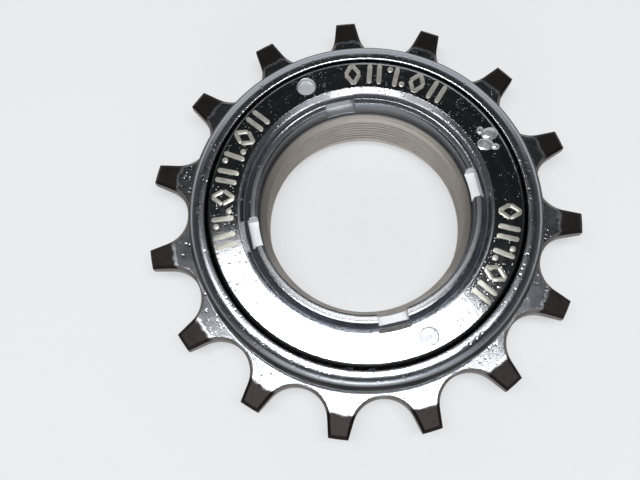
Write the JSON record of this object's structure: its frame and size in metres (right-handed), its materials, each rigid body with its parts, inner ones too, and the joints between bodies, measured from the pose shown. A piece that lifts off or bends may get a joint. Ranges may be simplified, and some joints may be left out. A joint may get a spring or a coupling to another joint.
{
  "type": "single speed freewheel",
  "caption": "Screw-on bicycle freewheel: a toothed outer ring turns freely one way round a threaded core on two rows of balls, with a one-way pawl ratchet between them.",
  "frame": {"origin": "on the axis of turning, on the plane of the hub-side face that the part rests on", "axes": "+Z out of the visible face, along the axis; one tooth stands at +Y at rest"},
  "size_m": [0.0648, 0.0646, 0.015],
  "materials": {
    "plated_steel": "bright nickel-chrome plate over forged steel, dull and brown on the tooth ends",
    "bright_plate": "bright plate, finely pitted",
    "core_steel": "turned steel, plated lip and grey-brown thread",
    "shim_steel": "rolled steel",
    "hardened_steel": "hardened, ground",
    "spring_steel": "blued spring steel",
    "ball_steel": "polished bearing balls"
  },
  "bodies": {
    "core_body": {"core": "core_steel", "locking_ring": "bright_plate", "shim_1": "shim_steel", "shim_2": "shim_steel", "shim_3": "shim_steel", "pawl_spring_1": "spring_steel", "pawl_spring_2": "spring_steel"},
    "sprocket_body": {"sprocket": "plated_steel"},
    "front_row": {"front_ball_01": "ball_steel", "front_ball_02": "ball_steel", "front_ball_03": "ball_steel", "front_ball_04": "ball_steel", "front_ball_05": "ball_steel", "front_ball_06": "ball_steel", "front_ball_07": "ball_steel", "front_ball_08": "ball_steel", "front_ball_09": "ball_steel", "front_ball_10": "ball_steel", "front_ball_11": "ball_steel", "front_ball_12": "ball_steel", "front_ball_13": "ball_steel", "front_ball_14": "ball_steel", "front_ball_15": "ball_steel", "front_ball_16": "ball_steel", "front_ball_17": "ball_steel", "front_ball_18": "ball_steel", "front_ball_19": "ball_steel", "front_ball_20": "ball_steel", "front_ball_21": "ball_steel", "front_ball_22": "ball_steel", "front_ball_23": "ball_steel", "front_ball_24": "ball_steel", "front_ball_25": "ball_steel", "front_ball_26": "ball_steel", "front_ball_27": "ball_steel", "front_ball_28": "ball_steel", "front_ball_29": "ball_steel", "front_ball_30": "ball_steel", "front_ball_31": "ball_steel", "front_ball_32": "ball_steel", "front_ball_33": "ball_steel", "front_ball_34": "ball_steel", "front_ball_35": "ball_steel", "front_ball_36": "ball_steel", "front_ball_37": "ball_steel", "front_ball_38": "ball_steel", "front_ball_39": "ball_steel", "front_ball_40": "ball_steel", "front_ball_41": "ball_steel"},
    "rear_row": {"rear_balls": "ball_steel"},
    "pawl_1_body": {"pawl_1": "hardened_steel"},
    "pawl_2_body": {"pawl_2": "hardened_steel"}
  },
  "joints": [
    {"name": "sprocket_spin", "type": "hinge", "parent": "core_body", "child": "sprocket_body", "pos_m": [0, 0, 0.007], "axis": [0, 0, 1], "continuous": true},
    {"name": "front_row_spin", "type": "hinge", "parent": "core_body", "child": "front_row", "pos_m": [0, 0, 0.01128], "axis": [0, 0, 1], "continuous": true},
    {"name": "rear_row_spin", "type": "hinge", "parent": "core_body", "child": "rear_row", "pos_m": [0, 0, 0.00335], "axis": [0, 0, 1], "continuous": true},
    {"name": "pawl_1_swing", "type": "hinge", "parent": "core_body", "child": "pawl_1_body", "pos_m": [0.01795, 0, 0.00745], "axis": [0, 0, -1], "range_deg": [-2, 8.9], "stiffness_Nm_per_rad": 0.001, "springref_deg": 20.05, "deforming": ["pawl_spring_1"]},
    {"name": "pawl_2_swing", "type": "hinge", "parent": "core_body", "child": "pawl_2_body", "pos_m": [-0.01795, 0, 0.00745], "axis": [0, 0, -1], "range_deg": [-2, 8.9], "stiffness_Nm_per_rad": 0.001, "springref_deg": 20.05, "deforming": ["pawl_spring_2"]}
  ],
  "couplings": [
    {"joint": "front_row_spin", "follows": "sprocket_spin", "ratio": 0.5261},
    {"joint": "rear_row_spin", "follows": "sprocket_spin", "ratio": 0.5261}
  ]
}
